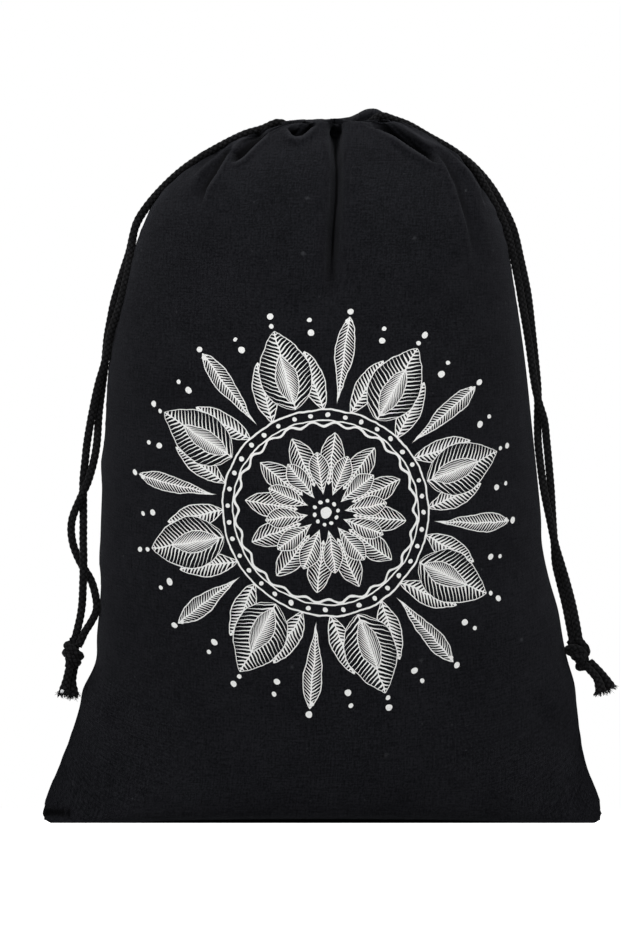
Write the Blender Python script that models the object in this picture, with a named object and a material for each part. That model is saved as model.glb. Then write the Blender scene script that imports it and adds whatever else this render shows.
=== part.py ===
"""A drawstring bread bag of black linen, filled out and standing on its base.

Two equal cloth panels are sewn together at the sides and along the bottom, which lies across the middle
of the flat base. A hem at the top is gathered by two drawcords. Each drawcord leaves the hem at one side
as a pair of runs, which lie over the shoulder, twist down the flank and end in an overhand knot and two tails.

Frame: the origin is at the middle of the base, +Z up, +X along the width, -Y out of the printed front.
"""

import math
from collections import namedtuple

import bpy
from mathutils import Vector

MM = 0.001

# Driving dimensions, in millimetres.
CLOTH = 1.6  # thickness of a panel
HEM = 2.2  # thickness of a panel where its hem is doubled over the drawcords
HEM_LENGTH = 20.0  # the hem's depth, down from its lip
SEAM_GAP = 0.3  # between the two panels along a seam
COLUMNS = 38  # steps across a panel
STEPS = 2  # rows to each row of SECTIONS
CORD = 4.0  # diameter of a drawcord
CORD_STEP = 10.0  # from one point of a cord's tube to the next
CORD_SIDES = 2  # bevel resolution, which gives 8 sides
KNOT_HALF = Vector((5.8, 5.2, 7.2))  # half sizes of a knot, along its cord last
KNOT_RIDGE = 0.10  # height of the wraps on a knot, as a share of its size
KNOT_WRAPS = 2
KNOT_SEGMENTS, KNOT_RINGS = 18, 12
TAIL_GAP = 0.4  # from a knot to the tails below it
LIP_PEAK = 4.5  # the back hem stands up this much at one corner
LIP_PEAK_X, LIP_PEAK_HALF_WIDTH = 26.0, 8.0
FOLD_SHARE = 0.36  # a fold cuts in by at most this share of the bag's half depth there

# The bag's shape, a row for each cloth row from the bottom seam up to the lip of the hem.
# seam_z, left and right place the two side seams. front_y and front_z place the middle of the front panel,
# and back_y and back_z that of the back panel. sharp is 1 where the flank is round, and 2 or more where the
# panels close to a flat ear. level tells how far out a row stays level before it climbs to its side seam.
Section = namedtuple("Section", "seam_z left right front_y front_z back_y back_z sharp level")
SECTIONS = [
    Section(*row)
    for row in (
        (0.0, -150.0, 150.0, 0.0, 0.0, 0.0, 0.0, 2.2, 9.0),
        (13.0, -149.0, 148.6, -21.0, 0.0, 21.0, 0.0, 2.2, 5.5),
        (28.0, -143.0, 143.2, -37.0, 0.0, 37.0, 0.0, 2.1, 3.0),
        (41.0, -137.8, 139.4, -45.5, 6.0, 45.0, 6.0, 1.95, 1.7),
        (62.0, -131.0, 137.0, -50.5, 27.0, 51.0, 27.0, 1.75, 1.15),
        (92.0, -123.2, 131.0, -55.0, 60.0, 56.0, 60.0, 1.5, 1.0),
        (128.0, -119.4, 122.2, -59.5, 102.0, 60.5, 102.0, 1.3, 1.0),
        (168.0, -119.4, 115.8, -62.0, 146.0, 62.5, 146.0, 1.2, 1.0),
        (210.0, -117.4, 112.2, -62.0, 193.0, 61.5, 194.0, 1.14, 1.0),
        (250.0, -114.4, 107.8, -59.5, 239.0, 59.5, 240.0, 1.1, 1.0),
        (286.0, -107.8, 102.4, -55.0, 280.0, 55.5, 281.0, 1.06, 1.0),
        (316.0, -99.2, 96.6, -48.5, 314.0, 49.5, 314.0, 1.03, 1.0),
        (338.0, -86.4, 87.6, -40.0, 339.0, 41.0, 338.0, 1.0, 1.0),
        (354.0, -67.8, 76.0, -30.0, 357.5, 31.0, 355.0, 1.0, 1.0),
        (365.0, -48.6, 59.0, -20.5, 370.5, 21.0, 367.0, 1.0, 1.0),
        (372.2, -31.4, 46.0, -14.4, 378.0, 14.4, 373.6, 1.0, 1.0),
        (374.4, -23.4, 37.4, -10.6, 377.0, 10.6, 374.6, 1.0, 1.0),
        (379.0, -21.6, 34.6, -9.8, 380.6, 9.8, 380.6, 1.0, 1.0),
    )
]

# The folds that the gathered hem throws into a panel. at_lip and at_end are places across the panel, from -1 at
# the left seam to 1 at the right one; length runs down the cloth from the lip, and half_width is across it.
Fold = namedtuple("Fold", "at_lip at_end length depth half_width")
FRONT_FOLDS = [
    Fold(*row)
    for row in (
        (0.05, 0.065, 116.0, 9.5, 0.055),
        (-0.44, -0.27, 26.0, 6.0, 0.085),
        (-0.68, -0.50, 52.0, 5.0, 0.070),
        (-0.86, -0.70, 66.0, 3.6, 0.060),
        (0.28, 0.60, 60.0, 6.5, 0.075),
        (0.66, 0.82, 56.0, 3.2, 0.060),
        (-0.16, -0.12, 40.0, 2.6, 0.055),
    )
]
BACK_FOLDS = [
    Fold(*row)
    for row in (
        (-0.80, -0.66, 58.0, 4.2, 0.070),
        (-0.50, -0.40, 104.0, 6.5, 0.070),
        (-0.22, -0.24, 46.0, 3.6, 0.060),
        (0.06, 0.10, 132.0, 8.0, 0.065),
        (0.34, 0.42, 64.0, 5.0, 0.070),
        (0.60, 0.66, 96.0, 5.5, 0.070),
        (0.84, 0.80, 48.0, 3.4, 0.060),
    )
]

# A pair of drawcord runs. x, y and z place the middle of the pair; half_gap is from there to each run's own
# middle, and turn is the way the runs lie: 0 degrees side by side as seen from the front, 90 one behind the other.
Pair = namedtuple("Pair", "x y z half_gap turn")
LEFT_PAIR = [
    Pair(*row)
    for row in (
        (-24.2, 0.0, 377.4, 2.3, 90),
        (-32.6, 0.0, 375.2, 2.3, 90),
        (-42.2, 0.0, 371.6, 2.3, 90),
        (-53.4, 0.0, 366.2, 2.3, 90),
        (-64.6, 0.0, 359.8, 2.3, 90),
        (-74.4, 0.0, 353.2, 2.3, 90),
        (-84.2, 0.0, 344.6, 2.3, 90),
        (-94.2, 0.0, 333.4, 2.3, 90),
        (-100.8, 0.0, 322.4, 2.3, 90),
        (-107.0, 0.0, 302.6, 2.3, 90),
        (-113.0, 0.0, 281.0, 2.3, 85),
        (-117.4, -0.5, 259.4, 2.3, 80),
        (-119.8, -0.8, 238.2, 2.3, 68),
        (-122.4, -1.2, 221.0, 2.3, 42),
        (-124.2, -1.5, 205.9, 2.6, 0),
        (-125.7, -1.8, 195.1, 2.4, -14),
        (-127.8, -2.0, 184.0, 2.3, -55),
        (-129.6, -2.2, 175.6, 2.3, -104),
        (-132.0, -2.4, 162.8, 3.1, -172),
        (-131.9, -2.6, 152.0, 3.0, -192),
        (-129.8, -2.8, 141.2, 2.7, -246),
        (-126.9, -3.0, 130.4, 2.7, -322),
        (-126.1, -3.0, 119.7, 3.4, -360),
        (-127.8, -3.0, 108.9, 3.2, -370),
        (-132.2, -3.0, 98.6, 2.3, -392),
    )
]
RIGHT_PAIR = [
    Pair(*row)
    for row in (
        (38.2, 0.0, 378.8, 2.3, 90),
        (46.8, 0.0, 375.8, 2.3, 90),
        (57.4, 0.0, 369.6, 2.3, 90),
        (68.4, 0.0, 363.2, 2.3, 90),
        (77.4, 0.0, 356.8, 2.3, 84),
        (84.8, 0.0, 349.8, 2.3, 70),
        (91.0, 0.0, 341.8, 2.3, 42),
        (96.2, -0.4, 332.8, 2.3, 18),
        (101.4, -0.6, 319.6, 2.3, 10),
        (104.9, -0.8, 303.4, 2.3, 10),
        (107.4, -1.0, 291.5, 2.3, 16),
        (109.4, -1.0, 281.4, 2.3, 34),
        (112.4, -1.0, 259.8, 2.3, 56),
        (115.0, -1.0, 238.2, 2.3, 68),
        (116.3, -1.2, 227.5, 2.3, 92),
        (117.8, -1.4, 216.7, 2.3, 140),
        (118.5, -1.6, 205.9, 2.3, 176),
        (119.6, -1.8, 194.6, 2.3, 186),
        (121.3, -2.0, 179.0, 2.3, 214),
        (122.7, -2.0, 162.8, 2.3, 250),
        (124.2, -2.2, 150.0, 2.3, 274),
        (126.6, -2.4, 139.8, 2.3, 316),
        (129.8, -2.6, 129.2, 2.3, 340),
        (132.6, -2.8, 118.2, 2.5, 360),
        (134.6, -3.0, 108.4, 2.5, 368),
        (136.6, -3.0, 98.8, 2.3, 396),
    )
]

# A knot's middle, the way its cords run through it, and where its two tails end.
LEFT_KNOT, LEFT_KNOT_RUN = Vector((-134.3, -3.0, 91.6)), Vector((-0.20, 0.0, -1.0))
RIGHT_KNOT, RIGHT_KNOT_RUN = Vector((137.95, -3.0, 91.45)), Vector((0.42, 0.0, -1.0))
LEFT_TAIL_ENDS = (Vector((-139.4, -5.6, 69.2)), Vector((-135.2, -1.0, 67.6)))
RIGHT_TAIL_ENDS = (Vector((150.6, -5.2, 70.4)), Vector((155.2, -1.2, 74.6)))

BLACK_LINEN = (0.012, 0.012, 0.014, 1.0)
BLACK_CORD = (0.008, 0.008, 0.009, 1.0)


def clear_scene():
    for obj in list(bpy.data.objects):
        bpy.data.objects.remove(obj, do_unlink=True)


def material(name, colour, roughness):
    made = bpy.data.materials.new(name)
    made.use_nodes = True
    shader = made.node_tree.nodes["Principled BSDF"]
    shader.inputs["Base Color"].default_value = colour
    shader.inputs["Roughness"].default_value = roughness
    shader.inputs["Metallic"].default_value = 0.0
    return made


def add_object(name, data, finish):
    obj = bpy.data.objects.new(name, data)
    bpy.context.scene.collection.objects.link(obj)
    data.materials.append(finish)
    return obj


def smooth_step(t):
    t = min(1.0, max(0.0, t))
    return t * t * (3 - 2 * t)


def through(points, index, t):
    """A smooth curve through the points, read at t from points[index] to the next one."""
    before = points[max(index - 1, 0)]
    start, end = points[index], points[index + 1]
    after = points[min(index + 2, len(points) - 1)]
    return tuple(
        0.5 * (2 * b + (c - a) * t + (2 * a - 5 * b + 4 * c - d) * t * t + (3 * b - a - 3 * c + d) * t**3)
        for a, b, c, d in zip(before, start, end, after)
    )


def cloth_rows():
    """SECTIONS with the rows between them filled in."""
    rows = []
    for index in range(len(SECTIONS) - 1):
        for step in range(STEPS):
            rows.append(Section(*through(SECTIONS, index, step / STEPS)))
    rows.append(SECTIONS[-1])
    return [row._replace(front_z=max(row.front_z, 0.0), back_z=max(row.back_z, 0.0)) for row in rows]


def inward(points, index, side, distance):
    """The point of a profile in a plane, moved to its inner side, which is at its right for side 1."""
    a, b = points[max(index - 1, 0)], points[min(index + 1, len(points) - 1)]
    run, rise = b[0] - a[0], b[1] - a[1]
    length = math.hypot(run, rise)
    return points[index][0] + side * distance * rise / length, points[index][1] - side * distance * run / length


def inner_rows(rows, from_lip, front):
    """The rows of a panel's inner face: its side seams and its middle, each moved in by the cloth."""
    left = [(row.left, row.seam_z) for row in rows]
    right = [(row.right, row.seam_z) for row in rows]
    middle = [(row.front_y, row.front_z) if front else (row.back_y, row.back_z) for row in rows]
    made = []
    for i, row in enumerate(rows):
        cloth = HEM if from_lip[i] < HEM_LENGTH else CLOTH
        at_seam = cloth * (1 - ear_share(row))
        left_x, left_z = inward(left, i, 1, at_seam)
        right_x, right_z = inward(right, i, -1, at_seam)
        y, z = inward(middle, i, 1 if front else -1, cloth)
        moved = {"front_y": y, "front_z": z} if front else {"back_y": y, "back_z": z}
        made.append(row._replace(left=left_x, right=right_x, seam_z=(left_z + right_z) / 2, **moved))
    return made


def ear_share(row):
    """0 where the flank is round, and 1 where the panels lie flat on each other."""
    return min(1.0, max(0.0, row.sharp - 1.0))


def lengths_from_lip(rows):
    """How far each row lies from the lip, measured down the middle of the front."""
    lengths = [0.0]
    for above, below in zip(reversed(rows[1:]), reversed(rows[:-1])):
        step = math.hypot(above.front_y - below.front_y, above.front_z - below.front_z)
        lengths.append(lengths[-1] + step)
    return list(reversed(lengths))


def fold_depth(folds, across, from_lip, half_depth):
    depth = 0.0
    for fold in folds:
        share = from_lip / fold.length
        if share < 1.0:
            middle = fold.at_lip + (fold.at_end - fold.at_lip) * share
            depth += (
                fold.depth
                * (1 - smooth_step(share))
                * math.exp(-(((across - middle) / fold.half_width) ** 2))
            )
    return min(depth, FOLD_SHARE * half_depth)


def panel_face(rows, outer, from_lip, folds, front, is_inner):
    """The points of one face of a panel, a list for each row. outer holds the rows that size the folds."""
    sign = -1.0 if front else 1.0
    floor = CLOTH if is_inner else 0.0
    face = []
    for row, outer_row, length in zip(rows, outer, from_lip):
        half_width, middle_x = (row.right - row.left) / 2, (row.right + row.left) / 2
        middle_y, middle_z = (row.front_y, row.front_z) if front else (row.back_y, row.back_z)
        outer_depth = abs(outer_row.front_y if front else outer_row.back_y)
        edge = 0.0 if is_inner else CLOTH * ear_share(row)
        points = []
        for column in range(COLUMNS + 1):
            across = 2 * column / COLUMNS - 1
            sine, cosine = math.sin(across * math.pi / 2), max(0.0, math.cos(across * math.pi / 2))
            bulge = cosine**row.sharp
            x = middle_x + half_width * sine
            y = edge + max(abs(middle_y) - edge, -edge) * bulge
            z = max(floor, row.seam_z + (middle_z - row.seam_z) * min(1.0, row.level * cosine))
            depth = fold_depth(folds, across, length, outer_depth)
            out = Vector((sine / max(half_width, 1.0), cosine / max(outer_depth, 1.0)))
            out.normalize()
            x -= out.x * depth
            y = max(0.0, y - out.y * depth)
            if not front and row is rows[-1]:
                z += LIP_PEAK * math.exp(-(((x - LIP_PEAK_X) / LIP_PEAK_HALF_WIDTH) ** 2))
            points.append(Vector((x, sign * (y + SEAM_GAP / 2), z)) * MM)
        face.append(points)
    return face


def closed_sheet(name, outer, inner, flip):
    """One closed mesh from a sheet's two faces and the rim between them."""
    rows, columns = len(outer), len(outer[0])
    size = rows * columns
    points = [p for row in outer for p in row] + [p for row in inner for p in row]
    faces = []
    for i in range(rows - 1):
        for j in range(columns - 1):
            a, b = i * columns + j, i * columns + j + 1
            c, d = b + columns, a + columns
            faces.append((a, b, c, d))
            faces.append((size + d, size + c, size + b, size + a))
    around = (
        [j for j in range(columns)]
        + [i * columns + columns - 1 for i in range(1, rows)]
        + [(rows - 1) * columns + j for j in range(columns - 2, -1, -1)]
        + [i * columns for i in range(rows - 2, 0, -1)]
    )
    for a, b in zip(around, around[1:] + around[:1]):
        faces.append((b, a, size + a, size + b))
    mesh = bpy.data.meshes.new(name)
    mesh.from_pydata(points, [], [face[::-1] if flip else face for face in faces])
    mesh.shade_smooth()
    mesh.set_sharp_from_angle(angle=math.radians(50))
    return mesh


def bag_panel(name, front, folds, finish):
    rows = cloth_rows()
    from_lip = lengths_from_lip(rows)
    outer = panel_face(rows, rows, from_lip, folds, front, False)
    inner = panel_face(inner_rows(rows, from_lip, front), rows, from_lip, folds, front, True)
    return add_object(name, closed_sheet(name, outer, inner, not front), finish)


def runs_of(pair):
    """The middles of a pair's two runs, as two lists of points."""
    first, second = [], []
    for i, row in enumerate(pair):
        before, after = pair[max(i - 1, 0)], pair[min(i + 1, len(pair) - 1)]
        run = Vector((after.x - before.x, 0.0, after.z - before.z)).normalized()
        beside = Vector((-run.z, 0.0, run.x))
        turn = math.radians(row.turn)
        offset = row.half_gap * (math.cos(turn) * beside + math.sin(turn) * Vector((0.0, 1.0, 0.0)))
        middle = Vector((row.x, row.y, row.z))
        first.append(middle + offset)
        second.append(middle - offset)
    return first, second


def evenly_spaced(points, step):
    """Points a step apart on a smooth curve through the given ones."""
    fine = [
        Vector(through([tuple(p) for p in points], i, t / 12)) for i in range(len(points) - 1) for t in range(12)
    ]
    fine.append(Vector(points[-1]))
    along = [0.0]
    for a, b in zip(fine, fine[1:]):
        along.append(along[-1] + (b - a).length)
    count = max(2, round(along[-1] / step))
    spaced, at = [], 0
    for k in range(count + 1):
        target = along[-1] * k / count
        while at < len(along) - 2 and along[at + 1] < target:
            at += 1
        share = (target - along[at]) / max(along[at + 1] - along[at], 1e-9)
        spaced.append(fine[at].lerp(fine[at + 1], min(1.0, share)))
    return spaced


def cord_tube(name, points, step, finish):
    curve = bpy.data.curves.new(name, "CURVE")
    curve.dimensions = "3D"
    curve.bevel_depth = CORD / 2 * MM
    curve.bevel_resolution = CORD_SIDES
    curve.use_fill_caps = True
    spaced = evenly_spaced(points, step)
    spline = curve.splines.new("POLY")
    spline.points.add(len(spaced) - 1)
    for point, place in zip(spline.points, spaced):
        point.co = (*(place * MM), 1.0)
    return add_object(name, curve, finish)


def knot(name, middle, run, finish):
    """A tight overhand knot of two cords, as one lumpy body with its wraps slanting round it."""
    turn = Vector((0.0, 0.0, -1.0)).rotation_difference(run.normalized())
    points, faces = [middle + turn @ Vector((0.0, 0.0, KNOT_HALF.z))], []
    for ring in range(1, KNOT_RINGS):
        down = math.pi * ring / KNOT_RINGS
        for segment in range(KNOT_SEGMENTS):
            round_it = 2 * math.pi * segment / KNOT_SEGMENTS
            wrap = math.cos(KNOT_WRAPS * (round_it + 1.3 * down))
            size = 1 + KNOT_RIDGE * wrap * math.sin(down)
            points.append(
                middle
                + turn
                @ Vector(
                    (
                        KNOT_HALF.x * size * math.sin(down) * math.cos(round_it),
                        KNOT_HALF.y * size * math.sin(down) * math.sin(round_it),
                        KNOT_HALF.z * math.cos(down),
                    )
                )
            )
    points.append(middle + turn @ Vector((0.0, 0.0, -KNOT_HALF.z)))
    last = len(points) - 1
    for segment in range(KNOT_SEGMENTS):
        after = (segment + 1) % KNOT_SEGMENTS
        faces.append((0, 1 + segment, 1 + after))
        low = 1 + (KNOT_RINGS - 2) * KNOT_SEGMENTS
        faces.append((last, low + after, low + segment))
        for ring in range(KNOT_RINGS - 2):
            top, bottom = 1 + ring * KNOT_SEGMENTS, 1 + (ring + 1) * KNOT_SEGMENTS
            faces.append((top + segment, bottom + segment, bottom + after, top + after))
    mesh = bpy.data.meshes.new(name)
    mesh.from_pydata([p * MM for p in points], [], faces)
    mesh.shade_smooth()
    return add_object(name, mesh, finish)


def cord_end(side, pair, middle, run, tail_ends, finish):
    """A pair's two runs down to the knot, the knot, and the two tails below it."""
    run = run.normalized()
    across = Vector((-run.z, 0.0, run.x))
    reach = KNOT_HALF.z + TAIL_GAP
    for letter, points, tail_end, sideways in zip("ab", runs_of(pair), tail_ends, (-1, 1)):
        cord_tube(f"drawcord_{side}_{letter}", points, CORD_STEP, finish)
        beside = Vector((0.0, sideways * CORD * 0.52, 0.0)) + across * sideways * CORD * 0.25
        start = middle + run * reach + beside
        bend = start.lerp(tail_end, 0.5) + run * CORD * 0.1
        cord_tube(f"tail_{side}_{letter}", [start, bend, tail_end], CORD, finish)
    knot(f"knot_{side}", middle, run, finish)


def main():
    clear_scene()
    linen = material("black_linen", BLACK_LINEN, 0.9)
    cotton = material("black_cord", BLACK_CORD, 0.85)
    bag_panel("bag_front", True, FRONT_FOLDS, linen)
    bag_panel("bag_back", False, BACK_FOLDS, linen)
    cord_end("left", LEFT_PAIR, LEFT_KNOT, LEFT_KNOT_RUN, LEFT_TAIL_ENDS, cotton)
    cord_end("right", RIGHT_PAIR, RIGHT_KNOT, RIGHT_KNOT_RUN, RIGHT_TAIL_ENDS, cotton)


main()
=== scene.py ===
# Dresses the linen bread bag: two woven panels with their folds and print, braided cords, knots and frayed tails.
import math
import random

import bmesh
import bpy
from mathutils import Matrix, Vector, noise


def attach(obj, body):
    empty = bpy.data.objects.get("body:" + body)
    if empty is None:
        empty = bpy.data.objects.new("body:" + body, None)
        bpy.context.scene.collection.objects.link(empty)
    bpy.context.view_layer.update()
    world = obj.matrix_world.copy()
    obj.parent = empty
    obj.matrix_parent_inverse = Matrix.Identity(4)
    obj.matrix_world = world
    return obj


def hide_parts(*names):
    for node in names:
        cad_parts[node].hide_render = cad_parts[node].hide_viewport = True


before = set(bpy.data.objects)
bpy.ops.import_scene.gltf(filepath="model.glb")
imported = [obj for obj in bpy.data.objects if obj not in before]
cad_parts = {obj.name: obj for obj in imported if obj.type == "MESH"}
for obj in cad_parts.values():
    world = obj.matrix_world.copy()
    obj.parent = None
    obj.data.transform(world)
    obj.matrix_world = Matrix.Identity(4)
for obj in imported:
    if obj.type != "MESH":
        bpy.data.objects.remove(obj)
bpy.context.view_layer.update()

mm = 0.001

# Rows up the cloth, in mm: seamZ, left, right (the side seams), frontY, frontZ, backY, backZ (the middles of the
# panels), sharp (1 on a round flank, 2 on a flat ear) and level (how far out a row stays level).
bag = {
    "rows": [
        (0.0, -150.0, 149.6, 0.0, 0.0, 0.0, 0.0, 2.2, 9.0),
        (13.0, -149.0, 149.0, -21.0, 0.0, 21.0, 0.0, 2.2, 5.5),
        (28.0, -143.0, 143.2, -37.0, 0.0, 37.0, 0.0, 2.1, 3.0),
        (41.0, -137.8, 139.4, -45.5, 6.0, 45.0, 6.0, 1.95, 1.7),
        (62.0, -131.0, 137.0, -50.5, 27.0, 51.0, 27.0, 1.75, 1.15),
        (92.0, -123.2, 131.0, -55.0, 60.0, 56.0, 60.0, 1.5, 1.0),
        (128.0, -119.4, 122.8, -59.5, 102.0, 60.5, 102.0, 1.3, 1.0),
        (150.0, -119.7, 118.4, -60.9, 126.2, 61.6, 126.2, 1.24, 1.0),
        (168.0, -119.4, 117.6, -62.0, 146.0, 62.5, 146.0, 1.2, 1.0),
        (210.0, -117.4, 113.4, -62.0, 193.0, 61.5, 194.0, 1.14, 1.0),
        (250.0, -115.0, 109.2, -59.5, 239.0, 59.5, 240.0, 1.1, 1.0),
        (286.0, -108.3, 104.0, -55.0, 280.0, 55.5, 281.0, 1.06, 1.0),
        (316.0, -99.4, 98.6, -48.5, 314.0, 49.5, 314.0, 1.03, 1.0),
        (338.0, -88.7, 90.0, -40.0, 339.0, 41.0, 338.0, 1.0, 1.0),
        (354.0, -71.2, 79.6, -30.0, 357.5, 31.0, 355.0, 1.0, 1.0),
        (365.0, -52.2, 62.4, -20.5, 370.5, 21.0, 367.0, 1.0, 1.0),
        (372.2, -33.4, 47.5, -14.4, 378.0, 14.4, 373.6, 1.0, 1.0),
        (374.4, -23.4, 39.0, -10.6, 377.0, 10.6, 374.6, 1.0, 1.0),
        (379.0, -21.6, 37.0, -9.8, 380.6, 9.8, 380.6, 1.0, 1.0),
    ],
    "columns": 212,
    "shortStep": 0.62,  # between rows at the hem, growing to longStep further down
    "longStep": 2.9,
    "cloth": 1.1,
    "seamGap": 0.02,
    "hem": 9.0,  # how deep the gathered hem is pressed together, and how far its mouth sinks in the middle
    "mouthSink": 3.2,
    # dents and bulges of the side seams: side, height, reach outwards, half length
    "sideBumps": [(-1, 194.0, 1.3, 9.0), (-1, 141.0, 1.0, 9.0), (-1, 88.0, -1.9, 9.0), (-1, 72.0, 1.2, 6.0),
                  (1, 115.0, 1.2, 12.0), (1, 75.0, 1.2, 9.0)],
    "rightLift": 1.5,  # the right shoulder of the front stands fuller
    "cornerLift": 1.7,  # the bottom corners are round
    "frontArch": 2.0,  # how far the middle of the front's bottom edge lifts
    "casingGap": 4.5,  # half of the opening left for the cords at the ends of the hem
    "lipPeak": (27.0, 9.8, 6.1),  # a corner of the back hem: its x, half width and height
    # how far the front hem sinks below the back one: x, half width, drop
    "lipDips": [(0.0, 60.0, 1.7), (-4.0, 4.0, 1.9), (7.0, 3.6, -1.5), (20.0, 6.0, 0.8), (-17.0, 5.0, -0.5)],
    "foldShare": 0.4,
}

# Broad folds thrown by the gathered hem: place across at the lip and at the fold's end, length, depth, half width.
frontFolds = [
    (0.02, 0.062, 116.0, 3.2, 0.060),
    (-0.44, -0.27, 26.0, 2.5, 0.085),
    (-0.68, -0.50, 52.0, 2.5, 0.070),
    (-0.86, -0.70, 66.0, 1.8, 0.060),
    (0.28, 0.60, 60.0, 2.5, 0.075),
    (0.66, 0.82, 56.0, 1.6, 0.060),
]
backFolds = [
    (-0.80, -0.66, 58.0, 3.2, 0.070),
    (-0.50, -0.40, 104.0, 4.5, 0.070),
    (-0.22, -0.24, 46.0, 3.6, 0.060),
    (0.06, 0.10, 132.0, 6.0, 0.065),
    (0.34, 0.42, 64.0, 4.0, 0.070),
    (0.60, 0.66, 96.0, 4.5, 0.070),
    (0.84, 0.80, 48.0, 2.4, 0.060),
]

# Creases placed on each panel, in mm as seen face on: which side of the route the hollow lies on (1 left of
# its run, -1 right, 0 both), depth, width, route (x, z) and what else it does. A one-sided crease drops steeply along
# its route and rises gently over its width, as where the cloth folds over itself.
# open: full at its start, which else fades in over the share "start" of its run; end: the share it fades out over
# narrow: its width at the end; pinch, over: how far its rims are drawn over it; ridge: painted highlight along its
# far side
# dark: from which share of its run its core carries painted shade; deep: how much of the width stays in full painted
# shade
frontCreases = [
    (0, 7.5, 4.6, [(7.0, 384), (7.2, 374), (7.3, 364), (7.5, 350)], {"open": 1, "narrow": 0.25, "dark": 0.30}),
    (0, 13.0, 2.3, [(7.2, 374), (7.6, 352), (7.3, 336), (6.0, 318), (5.0, 300), (4.5, 272)],
     {"open": 1, "pinch": 0.1, "narrow": 1.3, "dark": 0.02}),
    (0, 1.8, 6.0, [(5.6, 322), (4.8, 300), (5.2, 268)], {}),
    (1, 9.0, 6.4, [(-19.4, 375.6), (-18.8, 372.0), (-17.4, 369.3), (-14.6, 367.7), (-10.5, 368.5), (-7.3, 371.2),
     (-4.1, 374.6), (-2.8, 377.4)], {"end": 0.25}),
    (-1, 10.0, 7.0, [(-27.6, 373.4), (-31.6, 368.9), (-35.6, 365.0), (-39.4, 360.9), (-42.6, 357.5), (-45.4, 355.6),
     (-50.0, 354.6)], {"narrow": 1.1, "end": 0.2, "ridge": 0.9, "over": 0.04, "deep": 0.5}),
    (-1, 5.5, 7.0, [(-47.5, 365.4), (-51.6, 357.6), (-56.0, 349.6), (-62.0, 340.0), (-66.5, 325.0)], {}),
    (-1, 4.0, 5.5, [(-54.0, 362.5), (-61.5, 355.5), (-70.0, 347.5)], {}),
    (1, 11.5, 6.0, [(22.0, 375.2), (30.0, 373.6), (37.0, 369.4), (44.0, 364.4), (50.5, 360.0), (57.0, 356.0),
     (64.0, 353.6)], {"narrow": 1.6, "start": 0.42, "end": 0.26, "ridge": 0.9}),
    (1, 3.0, 8.0, [(60.0, 363.0), (66.2, 352.8), (70.5, 343.0), (77.0, 321.0), (83.0, 289.0)], {}),
    (1, 5.0, 5.0, [(71.0, 360.0), (79.7, 350.0), (84.0, 342.5), (88.0, 329.0)], {}),
    (0, 2.2, 1.8, [(-148.6, 5.5), (-143.0, 5.7), (-138.0, 5.2), (-131.0, 4.0)], {"open": 1, "dark": -0.1}),
    (0, 1.6, 8.0, [(-138.0, 30.0), (-118.0, 46.0), (-96.0, 70.0)], {}),
    (0, 1.7, 8.0, [(140.0, 30.0), (124.0, 50.0), (104.0, 82.0)], {}),
    (0, 0.9, 9.0, [(-104.0, 226.0), (-99.0, 180.0), (-103.0, 132.0)], {}),
    (0, 0.9, 9.0, [(98.0, 250.0), (101.0, 205.0), (106.0, 160.0)], {}),
]
backCreases = [
    (0, 6.5, 1.6, [(-4.0, 376), (-6.0, 345), (-9.0, 300), (-8.0, 262)],
     {"open": 1, "pinch": 0.3, "narrow": 1.4, "dark": 0.02}),
    (-1, 5.0, 8.0, [(-30.0, 371), (-46.0, 352), (-56.0, 318)], {}),
    (1, 5.0, 8.0, [(30.0, 372), (41.0, 352), (46.0, 322)], {}),
    (1, 3.4, 8.0, [(52.0, 362), (66.0, 342), (73.0, 304)], {}),
    (0, 2.2, 8.0, [(-139.0, 26.0), (-116.0, 50.0), (-92.0, 86.0)], {}),
    (0, 2.0, 8.0, [(138.0, 24.0), (120.0, 46.0), (98.0, 78.0)], {}),
    (0, 1.2, 10.0, [(-60.0, 20.0), (-40.0, 40.0), (-24.0, 74.0)], {}),
    (0, 1.0, 9.0, [(-100.0, 240.0), (-96.0, 190.0), (-100.0, 140.0)], {}),
]
# the side of the back panel that stands up behind the left cord: place across, spread, heights, reach
backRim = {"across": -0.86, "spread": 0.075, "low": 344.0, "high": 372.0, "reach": 4.6}

gathers = {"count": 22, "depth": 1.5, "shortest": 12.0, "longest": 52.0, "seed": 4}
puckers = {"depth": 0.55, "length": 12.0, "reach": 9.0}
slack = {"size": 70.0, "depth": 1.5, "fineSize": 24.0, "fineDepth": 0.35}


def smoothStep(t):
    t = min(1.0, max(0.0, t))
    return t * t * (3 - 2 * t)


def bell(t):
    return math.exp(-(t**2))


def curveThrough(points, index, t):
    before, start = points[max(index - 1, 0)], points[index]
    end, after = points[index + 1], points[min(index + 2, len(points) - 1)]
    return tuple(
        0.5 * (2 * b + (c - a) * t + (2 * a - 5 * b + 4 * c - d) * t * t + (3 * b - a - 3 * c + d) * t**3)
        for a, b, c, d in zip(before, start, end, after)
    )


def lengthsAlong(points):
    totals = [0.0]
    for a, b in zip(points, points[1:]):
        totals.append(totals[-1] + (b - a).length)
    return totals


def evenSteps(totals, count):
    # where even steps fall in a list of running totals: the entry before each, and how far it is to the next one
    steps, at = [], 0
    for k in range(count + 1):
        target = totals[-1] * k / count
        while at < len(totals) - 2 and totals[at + 1] < target:
            at += 1
        steps.append((at, min(1.0, (target - totals[at]) / max(totals[at + 1] - totals[at], 1e-12))))
    return steps


def rowAt(place):
    index = min(int(place), len(bag["rows"]) - 2)
    row = list(curveThrough(bag["rows"], index, place - index))
    row[4], row[6] = max(row[4], 0.0), max(row[6], 0.0)
    return row


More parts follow.
